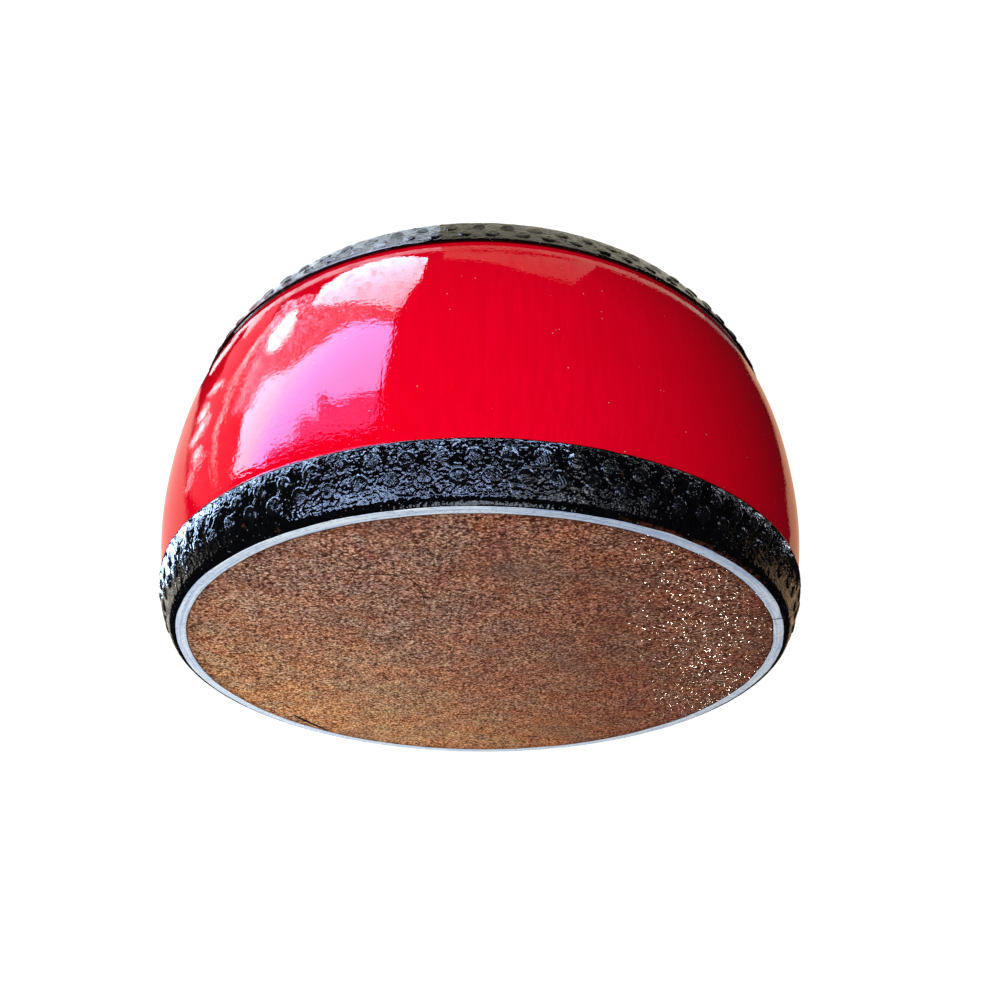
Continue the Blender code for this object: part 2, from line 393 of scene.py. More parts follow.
def ring_points():
    """A painted ring on the flat of the head, with brushed edges."""
    columns = 1600
    across = np.arange(columns) / columns
    inner = RING_INSIDE + 0.00040 * rough(71, across, 0 * across, 0.030, 4, 0.45)
    outer = FLAT_RADIUS + 0.0004 + 0.00045 * rough(81, across, 0 * across, 0.034, 4, 0.45)
    share = np.array([0, 0.04, 0.12, 0.24, 0.37, 0.5, 0.63, 0.76, 0.88, 0.96, 1])[:, None]
    radius = inner + (outer - inner) * share
    edge = np.clip(np.minimum(share, 1 - share) / 0.04, 0, 1)
    strokes = 0.00003 * rough(91, across[None, :], radius * 6, 0.012, 3)
    drop = np.clip(radius - FLAT_RADIUS, 0, None) ** 2 / (2 * (SHOULDER_RADIUS + HIDE_OUTSIDE))
    top = HALF_DRUM - 0.00014 + 0.00008 * edge + strokes * edge - drop
    top = np.minimum(top, HALF_DRUM)
    under = np.full((2, columns), HALF_DRUM - 0.0010)
    radius = np.concatenate([radius, radius[-1:] - 0.0001, radius[:1] + 0.0001])
    top = np.concatenate([top, under])
    turn = 2 * math.pi * across[None, :]
    return loops(radius, top, turn)


def head_points():
    """The head as a thin closed disc, very slightly uneven on top. It reaches under the ring."""
    columns = 240
    innermost, outermost = 0.002, RING_INSIDE + 0.003
    turn = 2 * math.pi * (np.arange(columns)[None, :] / columns)
    level = np.ones((1, columns))
    radii = np.linspace(innermost, outermost, 60)[:, None]
    top = HEAD_SURFACE + head_unevenness(radii * np.cos(turn), radii * np.sin(turn))
    under = (HALF_DRUM - HIDE_THICKNESS) * level
    radii = np.concatenate([radii * level, outermost * level, innermost * level])
    height = np.concatenate([top, under, under])
    return loops(radii, height, turn)[::-1]


PEG_SEED = 300
PEG_SIDES = 40
# Loops of points on a peg's head: their shares of its radius, and of its height.
PEG_RINGS = np.array([1.22, 1.12, 1.04, 0.98, 0.93, 0.86, 0.77, 0.67, 0.56, 0.45, 0.34, 0.23, 0.12, 0.04])
PEG_PROFILE = np.array([-0.7, -0.05, 0.16, 0.36, 0.52, 0.65, 0.76, 0.84, 0.90, 0.94, 0.97, 0.99, 1.0, 1.0])


def peg_shape(rng):
    """One hammered bamboo head under paint: a soft-edged, uneven button with a split or dished face."""
    theta = np.linspace(0, 2 * math.pi, PEG_SIDES, endpoint=False)
    phases = rng.uniform(0, 6.3, 3)
    outline = 1 + 0.09 * np.cos(theta - phases[0]) + 0.05 * np.cos(2 * theta - phases[1])
    outline += 0.03 * np.cos(3 * theta - phases[2]) + rng.normal(0, 0.012, PEG_SIDES)
    radius = PEG_HEAD_DIAMETER / 2 * rng.uniform(0.76, 0.94) * outline
    x = PEG_RINGS[:, None] * radius * np.cos(theta)
    y = PEG_RINGS[:, None] * radius * np.sin(theta)
    share = PEG_RINGS[:, None] * np.ones_like(theta)
    heading = rng.uniform(0, math.pi)
    cross = x * math.cos(heading) + y * math.sin(heading)
    length = -x * math.sin(heading) + y * math.cos(heading)
    if rng.random() < 0.4:
        cross = np.arctan2(cross, length + 0.0075) * 0.008
    fibre_width = rng.uniform(0.0013, 0.0022)
    fibres = np.abs(np.sin(math.pi * cross / fibre_width + 1.5 * np.sin(length * 500)))
    split_depth = rng.choice([0.00012, 0.00030, 0.00050])
    tall = rng.uniform(0.0012, 0.0016)
    bumps = np.zeros_like(x)
    for _ in range(7):
        px, py = rng.normal(0, 0.0030, 2)
        wide = rng.uniform(0.0008, 0.0018)
        bumps += rng.normal(0, 0.00016) * np.exp(-((x - px) ** 2 + (y - py) ** 2) / wide**2)
    dish = -rng.choice([0, 0, 0.00030]) * np.exp(-((share / 0.45) ** 3))
    top = tall * PEG_PROFILE[:, None] + dish + bumps * np.clip((1.04 - share) / 0.2, 0, 1)
    top = top - split_depth * (1 - fibres) * np.clip((0.95 - share) / 0.15, 0, 1)
    top = top + rng.normal(0, 0.00005, top.shape) * (share < 1)
    lean = rng.normal(0, 0.04, 2)
    top = top + (lean[0] * x + lean[1] * y) * (share <= 0.985)
    return x, y, top


def peg_row_mesh(row_wanted):
    """All the pegs of one row, each with its own face and slightly out of its place."""
    rng = np.random.default_rng(PEG_SEED + row_wanted)
    verts, faces, start = [], [], 0
    index = np.arange(len(PEG_RINGS) * PEG_SIDES).reshape(-1, PEG_SIDES)
    quads = loop_quads(index[:-1], index[1:])
    for row, angle, height in peg_places():
        if row != row_wanted:
            continue
        angle += rng.normal(0, 0.0012)
        height = height + rng.normal(0, 0.00035)
        x, y, out = peg_shape(rng)
        tilt = float(wall_tilt(height))
        radius = float(wall_radius(height)) + (HIDE_OUTSIDE + out) * math.cos(tilt) - y * math.sin(tilt)
        level = height + (HIDE_OUTSIDE + out) * math.sin(tilt) + y * math.cos(tilt)
        px = radius * math.cos(angle) - x * math.sin(angle)
        py = radius * math.sin(angle) + x * math.cos(angle)
        verts.append(np.stack([px, py, level + HALF_DRUM], -1).reshape(-1, 3))
        faces += (quads + start).tolist()
        faces += [(index[0][::-1] + start).tolist(), (index[-1] + start).tolist()]
        start += index.size
    mesh = bpy.data.meshes.new(f"peg_row_{row_wanted + 1}")
    mesh.from_pydata(np.concatenate(verts).tolist(), [], faces)
    mesh.shade_smooth()
    mesh.set_sharp_from_angle(angle=math.radians(60))
    return mesh


# Scratches and stray hairs on a head: each one's half width in metres, before it is widened, and the
# places that it passes, in tenths of a millimetre.
DARK_MARKS = [
    (0.00016, [(896, -1586), (777, -1605), (659, -1605), (571, -1601), (497, -1524), (444, -1406),
               (434, -1317), (429, -1109)]),
    (0.00010, [(606, -1818), (617, -1620)]),
    (0.00012, [(729, -1267), (566, -1258), (441, -1267), (340, -1228), (259, -1171), (135, -1042)]),
    (0.00012, [(292, -1409), (193, -1322), (91, -1312)]),
    (0.00012, [(92, -1209), (-34, -1141), (-107, -1130)]),
    (0.00012, [(1327, -485), (1197, -532), (1028, -609), (907, -597), (792, -524), (710, -465)]),
    (0.00065, [(1848, 1325), (1790, 1450), (1724, 1575), (1568, 1828)]),
    (0.00014, [(909, 760), (741, 797), (649, 918), (589, 1086)]),
    (0.00012, [(841, 795), (699, 1020), (644, 1217)]),
    (0.00030, [(291, 1314), (170, 1295), (41, 1269)]),
    (0.00030, [(-416, 1961), (-520, 1975), (-624, 1981)]),
    (0.00030, [(-1459, -1701), (-1550, -1755), (-1640, -1763)]),
    (0.00018, [(2010, 125), (1957, 283)]),
]
PALE_MARKS = [
    (0.00020, [(1542, -1395), (1678, -1246), (1856, -1013), (2004, -737), (2135, -502), (2263, -221),
               (2316, -40)]),
    (0.00014, [(2310, -330), (2322, -210), (2316, -40)]),
    (0.00014, [(1100, 50), (1060, 260), (1015, 520)]),
]
MARK_WIDENING = 3.4
MOST_MARK_RISE = 0.00015
HEAD_SURFACE = HALF_DRUM - HEAD_INSET


def head_unevenness(x, y):
    return 0.00012 * np.sin(x * 31 + 1.3 * np.sin(y * 24)) * np.cos(y * 37 + 1.1 * np.sin(x * 19))


def mark_mesh(name, marks):
    """Thin tapering ribbons, half sunk into the head, along smooth lines."""
    verts, faces = [], []
    for half_width, corners in marks:
        corners = np.array(corners) / 10000
        count = 8 * len(corners)
        where = np.linspace(0, len(corners) - 1, count)
        line = np.stack([np.interp(where, range(len(corners)), corners[:, i]) for i in range(2)], 1)
        for _ in range(12):
            line[1:-1] = (line[:-2] + 2 * line[1:-1] + line[2:]) / 4
        way = np.gradient(line, axis=0)
        way /= np.linalg.norm(way, axis=1, keepdims=True)
        side = np.stack([-way[:, 1], way[:, 0]], 1)
        taper = 0.15 + 0.85 * np.sin(np.linspace(0.05, math.pi - 0.05, count)) ** 0.6
        width = (MARK_WIDENING * half_width * taper)[:, None]
        level = HEAD_SURFACE + head_unevenness(line[:, 0], line[:, 1]) + HALF_DRUM
        start = len(verts)
        for across, rise in ((-1, 0), (0, 1), (1, 0), (0, -1)):
            place = line + side * width * across
            height = level + rise * np.minimum(0.00004 + 0.15 * width[:, 0], MOST_MARK_RISE)
            verts += np.column_stack([place, height]).tolist()
        for i in range(count - 1):
            for k in range(4):
                a, b = start + k * count + i, start + (k + 1) % 4 * count + i
                faces.append((a, b, b + 1, a + 1))
        faces.append([start + k * count for k in (3, 2, 1, 0)])
        faces.append([start + k * count + count - 1 for k in range(4)])
    mesh = bpy.data.meshes.new(name)
    mesh.from_pydata(verts, [], faces)
    return mesh


def add_hides(paint):
    """Both hides with their rings and pegs. The lower one is the upper one turned over."""
    head = grid_mesh("head_membrane", head_points(), caps=True)
    head.set_sharp_from_angle(angle=math.radians(40))
    pieces = [
        (head, "hide", "natural_hide"),
        (mark_mesh("dark_scratches", DARK_MARKS), "dark", "natural_hide"),
        (mark_mesh("pale_scratches", PALE_MARKS), "pale", "natural_hide"),
        (grid_mesh("painted_ring", ring_points(), close_rows=True), "ring", "white_paint"),
        (grid_mesh("painted_skirt", skirt_points(), close_rows=True), "black", "black_gloss_paint"),
        (peg_row_mesh(0), "peg", "black_gloss_paint"),
        (peg_row_mesh(1), "peg", "black_gloss_paint"),
    ]
    turned_over = Matrix.Translation((0, 0, 2 * HALF_DRUM)) @ Matrix.Rotation(math.pi, 4, "X")
    for side, matrix in (("top", None), ("bottom", turned_over)):
        for mesh, finish, slot in pieces:
            add_piece(f"{side}_{mesh.name}", mesh, paint[finish], [side + "_hide"], matrix)


# The finishes.


def fill(tree, node, inputs):
    """Gives inputs their values, or links other nodes' outputs to them."""
    for key, value in dict(inputs).items():
        socket = node.inputs[key]
        if isinstance(value, bpy.types.NodeSocket):
            tree.links.new(value, socket)
        else:
            socket.default_value = (*value, 1) if socket.type == "RGBA" else value


def add_node(tree, kind, inputs=(), **settings):
    made = tree.nodes.new(kind)
    for key, value in settings.items():
        setattr(made, key, value)
    fill(tree, made, inputs)
    return made


class Finish:
    """A node material, with a method for each thing that the finishes below are made of."""

    def __init__(self, name):
        self.material = bpy.data.materials.new(name)
        self.material.use_nodes = True
        self.tree = self.material.node_tree
        self.shader = self.tree.nodes["Principled BSDF"]
        self.place = self.node("ShaderNodeTexCoord").outputs["Object"]

    def node(self, kind, inputs=(), **settings):
        return add_node(self.tree, kind, inputs, **settings)

    def set(self, **inputs):
        """Sets the shader's inputs. Their names have _ for spaces."""
        fill(self.tree, self.shader, {key.replace("_", " "): value for key, value in inputs.items()})

    def math(self, operation, *values):
        return self.node("ShaderNodeMath", enumerate(values), operation=operation).outputs[0]

    def times(self, a, b):
        return self.math("MULTIPLY", a, b)

    def vector(self, operation, *values):
        return self.node("ShaderNodeVectorMath", enumerate(values), operation=operation).outputs

    def parts(self, vector):
        return self.node("ShaderNodeSeparateXYZ", {0: vector}).outputs

    def joined(self, *parts):
        return self.node("ShaderNodeCombineXYZ", enumerate(parts)).outputs[0]

    def stretched(self, scale, rotation=(0, 0, 0)):
        """The place on the object, turned and scaled."""
        inputs = {"Vector": self.place, "Scale": scale, "Rotation": rotation}
        return self.node("ShaderNodeMapping", inputs).outputs[0]

    def toward(self, x, y):
        """How far the place lies in a level direction."""
        return self.vector("DOT_PRODUCT", self.place, (x, y, 0))["Value"]

    def from_axis(self):
        flat = self.vector("MULTIPLY", self.place, (1, 1, 0))[0]
        return self.vector("LENGTH", flat)["Value"]

    def noise(self, scale, detail=3, roughness=0.5, where=None, distortion=0):
        inputs = {"Scale": scale, "Detail": detail, "Roughness": roughness, "Distortion": distortion}
        inputs["Vector"] = self.place if where is None else where
        return self.node("ShaderNodeTexNoise", inputs).outputs[0]

    def cells(self, scale):
        """The distance from the middle of the nearest cell, and three random numbers of that cell."""
        made = self.node("ShaderNodeTexVoronoi", {"Vector": self.place, "Scale": scale}).outputs
        return made[0], self.node("ShaderNodeSeparateColor", {0: made[1]}).outputs

    def spread(self, value, low, high, to_low=0.0, to_high=1.0):
        """The value taken smoothly from the range low to high to another range."""
        inputs = {0: value, 1: low, 2: high, 3: to_low, 4: to_high}
        return self.node("ShaderNodeMapRange", inputs, interpolation_type="SMOOTHSTEP").outputs[0]

    def mix(self, factor, a, b, blend="MIX"):
        inputs = {0: factor, 6: a, 7: b}
        return self.node("ShaderNodeMix", inputs, data_type="RGBA", blend_type=blend).outputs[2]

    def tinted(self, colour, share, low, high):
        """The colour times a tint, which goes from low to high with the share."""
        return self.mix(1.0, colour, self.mix(share, low, high), "MULTIPLY")

    def bump(self, height, distance, strength=1.0, under=None):
        inputs = {"Height": height, "Distance": distance, "Strength": strength}
        if under is not None:
            inputs["Normal"] = under
        return self.node("ShaderNodeBump", inputs).outputs[0]


NO_TINT = (1.0, 1.0, 1.0)


def red_lacquer():
    f = Finish("red_lacquer")
    streak = f.noise(1, 5, 0.6, f.stretched((240, 240, 12)))
    colour = f.mix(f.spread(streak, 0.35, 0.7), (0.74, 0.0, 0.014), (0.82, 0.0, 0.020))
    colour = f.mix(f.spread(f.noise(9, 3), 0.3, 0.75, 0, 0.5), colour, (0.70, 0.0, 0.012))
    from_middle, chance = f.cells(420)
    dust = f.times(f.spread(from_middle, 0.16, 0.10), f.math("GREATER_THAN", chance[0], 0.985))
    colour = f.mix(dust, colour, (0.85, 0.55, 0.55))
    smear = f.noise(14, 4, 0.6, f.stretched((1, 1, 2.5)))
    f.set(Base_Color=colour, Roughness=f.spread(smear, 0.35, 0.75, 0.004, 0.025), IOR=1.35)
    # Brush strokes run round the drum: the noise is far finer in height than in bearing.
    turned = f.parts(f.stretched((1, 1, 1), (0, 0, STAVE_ANGLE / 2)))
    bearing = f.times(f.math("ARCTAN2", turned[1], turned[0]), 44)
    brush = f.noise(1, 0.8, 0.55, f.joined(bearing, f.times(turned[2], 420)))
    ripple = f.math("ADD", f.noise(330, 0), f.noise(720, 0))
    where = f.spread(f.noise(18, 3, 0.55), 0.35, 0.65, 0.45, 1.0)
    normal = f.bump(f.times(ripple, where), 0.00006)
    normal = f.bump(f.times(brush, where), 0.00009, 1.0, normal)
    f.set(Normal=f.bump(dust, 0.0002, 0.6, normal))
    return f.material


def brown_hide():
    f = Finish("natural_hide")
    grain = f.noise(1, 2, 0.55, f.stretched((270, 330, 330), (0, 0, -0.14)), 0.6)
    fine = f.noise(1, 2, 0.6, f.stretched((500, 580, 580), (0, 0, 0.35)))
    mottled = f.noise(60, 5, 0.65)
    patch = f.noise(7, 4, 0.6, distortion=0.5)
    place = f.parts(f.place)
    # Painted light: the hide is paler and more orange towards +X and +Y, and the patch noise breaks up the
    # edge.
    toward = f.math("ADD", f.times(place[0], 0.8), place[1])
    warm = f.spread(f.math("ADD", toward, f.times(patch, 0.25)), 0.02, 0.42)
    dark = f.mix(warm, (0.125, 0.042, 0.025), (0.190, 0.060, 0.019))
    light = f.mix(warm, (0.430, 0.210, 0.142), (0.660, 0.305, 0.122))
    pale = f.mix(warm, (0.88, 0.60, 0.44), (1.0, 0.70, 0.42))
    colour = f.mix(f.spread(grain, 0.40, 0.60), dark, light)
    colour = f.mix(f.spread(fine, 0.53, 0.66, 0, 0.95), colour, pale)
    colour = f.mix(f.spread(fine, 0.47, 0.34, 0, 0.90), colour, (0.030, 0.013, 0.010))
    colour = f.mix(f.spread(mottled, 0.56, 0.70, 0, 0.45), colour, (0.330, 0.105, 0.036))
    colour = f.mix(f.spread(patch, 0.50, 0.72, 0, 0.40), colour, (0.200, 0.118, 0.088))
    hue = f.spread(f.noise(24, 3, 0.6), 0.38, 0.62)
    colour = f.tinted(colour, hue, (1.07, 0.93, 0.86), (0.95, 1.03, 1.05))
    tone = f.spread(f.noise(46, 3, 0.6, distortion=0.6), 0.38, 0.62)
    colour = f.tinted(colour, tone, (0.88, 0.85, 0.90), (1.11, 1.09, 1.04))
    # Painted shade: the head darkens towards -X, and more strongly past x = -0.06 m.
    colour = f.tinted(colour, f.spread(place[0], -0.09, 0.10), (0.86, 0.73, 0.67), (1.0, 1.03, 1.07))
    colour = f.tinted(colour, f.spread(place[0], -0.16, -0.06), (0.82, 0.74, 0.72), NO_TINT)
    radius = f.from_axis()
    # Darker within 14 mm of the ring, with a painted shadow along its inner edge.
    by_ring = f.spread(radius, RING_INSIDE - 0.014, RING_INSIDE - 0.001)
    colour = f.tinted(colour, by_ring, NO_TINT, (0.76, 0.70, 0.68))
    painted_shadow_at_ring = f.spread(radius, RING_INSIDE - 0.0016, RING_INSIDE - 0.0006, 0, 0.75)
    colour = f.mix(painted_shadow_at_ring, colour, (0.045, 0.020, 0.014))
    # Some cells are small glossy facets, each tilted its own way, which glint one by one.
    from_middle, chance = f.cells(560)
    glossy = f.math("GREATER_THAN", chance[0], 0.70)
    glossy = f.times(f.spread(from_middle, 0.42, 0.30), glossy)
    f.set(Base_Color=colour, Roughness=f.spread(glossy, 0, 1, 0.75, 0.18))
    f.set(Specular_IOR_Level=f.spread(glossy, 0, 1, 0.01, 0.6))
    normal = f.bump(grain, 0.0014, 0.55)
    normal = f.bump(fine, 0.0008, 0.55, normal)
    tilt = f.joined(f.math("SUBTRACT", chance[1], 0.5), f.math("SUBTRACT", chance[2], 0.5))
    tilt = f.node("ShaderNodeVectorMath", {0: tilt, "Scale": 0.20}, operation="SCALE").outputs[0]
    facet = f.vector("ADD", f.node("ShaderNodeNewGeometry").outputs["Normal"], tilt)[0]
    f.set(Normal=f.mix(glossy, normal, f.vector("NORMALIZE", facet)[0]))
    return f.material


def scratch_finish(name, colour, second):
    f = Finish(name)
    uneven = f.noise(400, 3, 0.6)
    f.set(Base_Color=f.mix(f.spread(uneven, 0.35, 0.65), colour, second))
    f.set(Roughness=0.6, Specular_IOR_Level=0.02, Normal=f.bump(uneven, 0.0002, 0.5))
    return f.material


def white_ring():
    f = Finish("white_paint")
    distance = f.vector("LENGTH", f.place)["Value"]
    along = f.parts(f.stretched((16, 16, 16)))
    lines = f.noise(1, 3, 0.6, f.joined(f.times(distance, 1000), along[0], along[1]))
    smudge = f.noise(120, 4, 0.6)
    scuffs = f.noise(1, 3, 0.6, f.stretched((300, 760, 760), (0, 0, 0.25)))
    colour = f.mix(f.spread(lines, 0.35, 0.65), (0.50, 0.62, 0.86), (0.86, 0.95, 1.0))
    colour = f.mix(f.spread(scuffs, 0.55, 0.66, 0, 0.60), colour, (0.24, 0.29, 0.42))
    colour = f.mix(f.spread(scuffs, 0.42, 0.34, 0, 0.70), colour, (0.88, 0.93, 1.0))
    colour = f.mix(f.spread(smudge, 0.60, 0.76, 0, 0.6), colour, (0.36, 0.40, 0.48))
    # Painted shade: the ring darkens and turns bluer towards -X and -Y.
    colour = f.tinted(colour, f.spread(f.toward(-0.50, -0.866), 0.212, 0.240), NO_TINT, (0.68, 0.72, 0.80))
    # One crack across the ring, at a bearing whose cosine and sine these are.
    along_crack, across_crack = f.toward(-0.9245, -0.3812), f.toward(-0.3812, 0.9245)
    wander = f.math("MULTIPLY_ADD", f.noise(300, 2), 0.003, -0.0015)
    crack = f.spread(f.math("ABSOLUTE", f.math("ADD", across_crack, wander)), 0.0011, 0.0005)
    crack = f.times(crack, f.math("GREATER_THAN", along_crack, 0.2))
    colour = f.mix(crack, colour, (0.012, 0.014, 0.02))
    f.set(Base_Color=colour, Roughness=f.spread(smudge, 0.3, 0.7, 0.45, 0.65))
    f.set(Specular_IOR_Level=0.15, Normal=f.bump(lines, 0.0003, 0.5))
    return f.material


def black_paint(name, roughness, grain, lift):
    """Glossy black with worn spots and pale specks that are painted glints. Lift makes its black paler,
    which on the pegs is a painted reflection, and grain its surface rougher.
    """
    f = Finish(name)
    mottled = f.noise(300, 4, 0.6)
    low = (0.0012 * lift, 0.0013 * lift, 0.0017 * lift)
    high = (0.0030 * lift, 0.0033 * lift, 0.0046 * lift)
    colour = f.mix(f.spread(mottled, 0.4, 0.7), low, high)
    colour = f.mix(f.spread(f.noise(90, 4, 0.65), 0.66, 0.74, 0, 0.8), colour, (0.060, 0.020, 0.010))
    # Beside the ring, on one side, the brown hide shows through.
    beside = f.spread(f.from_axis(), 0.2546, 0.2528)
    beside = f.times(beside, f.spread(f.toward(-0.60, -0.80), 0.240, 0.2465))
    beside = f.times(beside, f.spread(f.noise(150, 4, 0.7), 0.44, 0.56))
    colour = f.mix(beside, colour, (0.070, 0.018, 0.010))
    # Painted glints: pale specks in some cells, more of them where the noise is high.
    from_middle, chance = f.cells(620)
    glint_share = f.spread(f.noise(45, 3, 0.6), 0.35, 0.65, 0.02, 0.20)
    painted_glints = f.times(f.spread(from_middle, 0.30, 0.14), f.math("LESS_THAN", chance[0], glint_share))
    pale = f.mix(f.spread(chance[1], 0.2, 0.8), (0.08, 0.09, 0.12), (0.30, 0.34, 0.40))
    colour = f.mix(f.times(painted_glints, 0.8), colour, pale)
    f.set(Base_Color=colour, Roughness=f.spread(mottled, 0.3, 0.7, *roughness), IOR=1.45)
    strength = f.spread(f.toward(0.08, -1), 0.236, 0.262, 0.5 * grain, grain)
    normal = f.bump(f.noise(500, 0), 0.0007, strength)
    wrinkles = f.noise(1, 0.6, 0.5, f.stretched((190, 190, 320)), 0.3)
    f.set(Normal=f.bump(wrinkles, 0.0007, strength, normal))
    return f.material


def bamboo():
    f = Finish("bamboo")
    fibre = f.noise(1, 3, 0.5, f.stretched((900, 900, 120)))
    colour = f.mix(f.spread(fibre, 0.35, 0.65), (0.42, 0.28, 0.12), (0.60, 0.43, 0.20))
    f.set(Base_Color=colour, Roughness=f.spread(fibre, 0.3, 0.7, 0.50, 0.70))
    f.set(Normal=f.bump(fibre, 0.0004, 0.4))
    return f.material


# Outlines on the floor, in millimetres, of the patches of light that the lacquer mirrors.
SKY = [
    (53, -282), (67, -310), (101, -346), (121, -363), (141, -393), (173, -440), (227, -522), (302, -624),
    (344, -582), (432, -560), (373, -450), (595, -616), (526, -495), (834, -622), (873, -476),
    (1107, -524), (983, -253), (689, -260), (485, -242), (388, -242), (333, -247), (313, -293),
    (277, -306), (237, -321), (188, -329), (155, -345), (118, -350), (104, -344),
]
SKY_AT_FOOT = [
    (53, -282), (67, -310), (101, -346), (118, -352), (136, -324), (155, -297), (174, -279), (185, -255),
    (155, -247), (135, -249), (81, -267),
]
TREES = [
    (106, -348), (135, -381), (153, -358), (187, -334), (237, -326), (277, -312), (313, -300),
    (335, -255), (430, -250), (430, -195), (360, -200), (280, -212), (223, -212), (190, -215),
    (170, -240), (153, -294), (136, -315),
]
FAR_TREES = [
    (300, -620), (344, -575), (432, -550), (373, -445), (595, -610), (526, -490), (834, -615),
    (873, -470), (1134, -549), (943, -760), (802, -1079), (701, -1235), (442, -851),
]
GAP = [(194, -241), (210, -232), (252, -225), (280, -232), (275, -251), (237, -260)]
BRIGHT_GROUND = [
    (190, -205), (260, -212), (342, -206), (430, -205), (436, -246), (689, -262), (1000, -256),
    (1400, -300), (1300, 60), (640, 18), (531, -11), (451, -35), (384, -65), (350, -90), (335, -111),
    (304, -139), (262, -150),
]
# Each streak has its strength first.
STREAKS = [
    (3, [(197, -187), (207, -177), (224, -169), (242, -167), (245, -171), (231, -180), (212, -187),
     (199, -190)]),
    (3, [(234, -152), (247, -128), (262, -106), (279, -98), (284, -103), (274, -119), (256, -139),
     (236, -155)]),
    (9, [(217, -216), (264, -201), (315, -184), (357, -167), (406, -159), (466, -138), (565, -132),
     (935, -115), (944, -119), (574, -140), (473, -145), (411, -166), (360, -172), (318, -189),
     (267, -206), (218, -217)]),
    (9, [(319, -150), (322, -127), (333, -107), (337, -110), (331, -134), (322, -152)]),
    (9, [(355, -112), (361, -88), (379, -74), (384, -79), (374, -101), (359, -116)]),
    (9, [(381, -119), (405, -78), (432, -39), (441, -44), (423, -91), (386, -123)]),
    (9, [(473, -81), (482, -56), (512, -38), (524, -44), (511, -72), (482, -86)]),
    (9, [(529, -102), (542, -55), (563, -8), (568, -9), (554, -59), (532, -104)]),
    (9, [(553, -33), (588, 2), (639, 36), (645, 35), (602, -3), (558, -35)]),
    (9, [(283, -225), (331, -215), (384, -207), (428, -208), (429, -210), (388, -213), (333, -220),
     (284, -227)]),
    (3, [(198, -176), (212, -164), (229, -156), (230, -157), (214, -168), (199, -178)]),
]
WARM_AT_FOOT = [
    (36, -278), (5, -283), (-31, -282), (-68, -274), (-99, -259), (-101, -266), (-96, -289), (-94, -304),
    (-66, -308), (-36, -307), (-15, -301), (15, -294), (40, -289),
]
LEFT_WALL = [
    (285, -75), (330, -70), (382, -48), (480, -12), (620, 36), (753, 85), (900, 140), (800, 600),
    (300, 300), (255, 60),
]
RIGHT_WALL = [
    (-228, -140), (-242, -129), (-274, -118), (-300, -92), (-326, -64), (-354, -35), (-388, -7),
    (-433, 23), (-488, 62), (-567, 109), (-613, 180), (-760, 280), (-2000, 1000), (-1200, 1800),
    (-400, 1200), (-255, 60),
]

# Patches on the floor: name, outline, height in metres, colour, strength, mottling and second colour.
FLOOR_PATCHES = [
    ("bright_ground", BRIGHT_GROUND, 0.0025, (1.0, 0.17, 0.22), 2.2, (12, 0.25, 0.55, 0.45)),
    ("sky", SKY, 0.0040, (0.42, 0.52, 0.74), 24, None, (0.38, 0.39, 1.0)),
    ("sky_at_foot", SKY_AT_FOOT, 0.0045, (0.66, 0.78, 1.0), 14, (80, 0.34, 0.50, 0.5)),
    ("trees", TREES, 0.0042, (0.85, 0.46, 0.68), 11, (190, 0.47, 0.60, 0.05)),
    ("far_trees", FAR_TREES, 0.0042, (0.8, 0.26, 1.0), 10, (34, 0.36, 0.70, 0.10)),
    ("gap", GAP, 0.0045, (0.80, 0.95, 1.0), 15, (60, 0.30, 0.50, 0.4)),
]
for number, (strength, outline) in enumerate(STREAKS):
    streak = (f"streak_{number + 1}", outline, 0.0045, (1.0, 0.72, 0.78), strength, (60, 0.30, 0.5, 0.55))
    FLOOR_PATCHES.append(streak)
FLOOR_PATCHES += [
    ("warm_stone", WARM_AT_FOOT, 0.0045, (1.0, 0.75, 0.60), 0.75, (60, 0.30, 0.50, 0.5)),
    ("left_wall", LEFT_WALL, 0.0045, (1.0, 0.48, 0.43), 1.3),
    ("right_wall", RIGHT_WALL, 0.0045, (1.0, 0.55, 0.33), 0.8),
]

# The strength of what is mirrored as nearly black.
DARK = 0.02

# Strips round the drum: name, radii, bearings, height, colour, strength and mottling. Some lie at its foot
# and some at the level of the upper skirt's edge.
FOOT_STRIPS = [
    ("foot", 0.235, 0.279, -48, 8, 0.0030, (1.0, 0.93, 0.74), 0.74, (70, 0.20, 0.50, 0.45)),
    ("foot_right", 0.235, 0.279, -95, -48, 0.0030, (1.0, 0.92, 0.84), 0.38, (70, 0.20, 0.50, 0.45)),
    ("foot_left", 0.235, 0.279, 8, 60, 0.0030, (0.78, 0.88, 1.0), 2.2, (70, 0.30, 0.55, 0.2)),
]
SHELF = HALF_DRUM + SKIRT_EDGE - 0.0002
SHELF_STRIPS = [
    ("shelf", 0.2712, 1.4, -180, 0, SHELF, (0.5, 0.5, 0.6), DARK),
    ("shelf", 0.2712, 1.4, 0, 180, SHELF, (0.5, 0.5, 0.6), DARK),
    ("shelf_left", 0.2730, 0.3000, -12, 80, SHELF + 0.0004, (0.46, 0.64, 1.0), 34, (150, 0.50, 0.56, 0.0)),
    ("shelf_right", 0.2730, 0.2900, -64, -12, SHELF + 0.0004, (0.80, 0.86, 1.0), 8, (160, 0.54, 0.60, 0.0)),
    ("shelf_grey", 0.2715, 0.9, 80, 130, SHELF + 0.0006, (1.0, 0.93, 0.82), 1.5, (80, 0.44, 0.54, 0.0)),
    ("shelf_brown", 0.2715, 0.9, -130, -75, SHELF + 0.0006, (1.0, 0.66, 0.38), 1.05, (80, 0.46, 0.56, 0.0)),
]

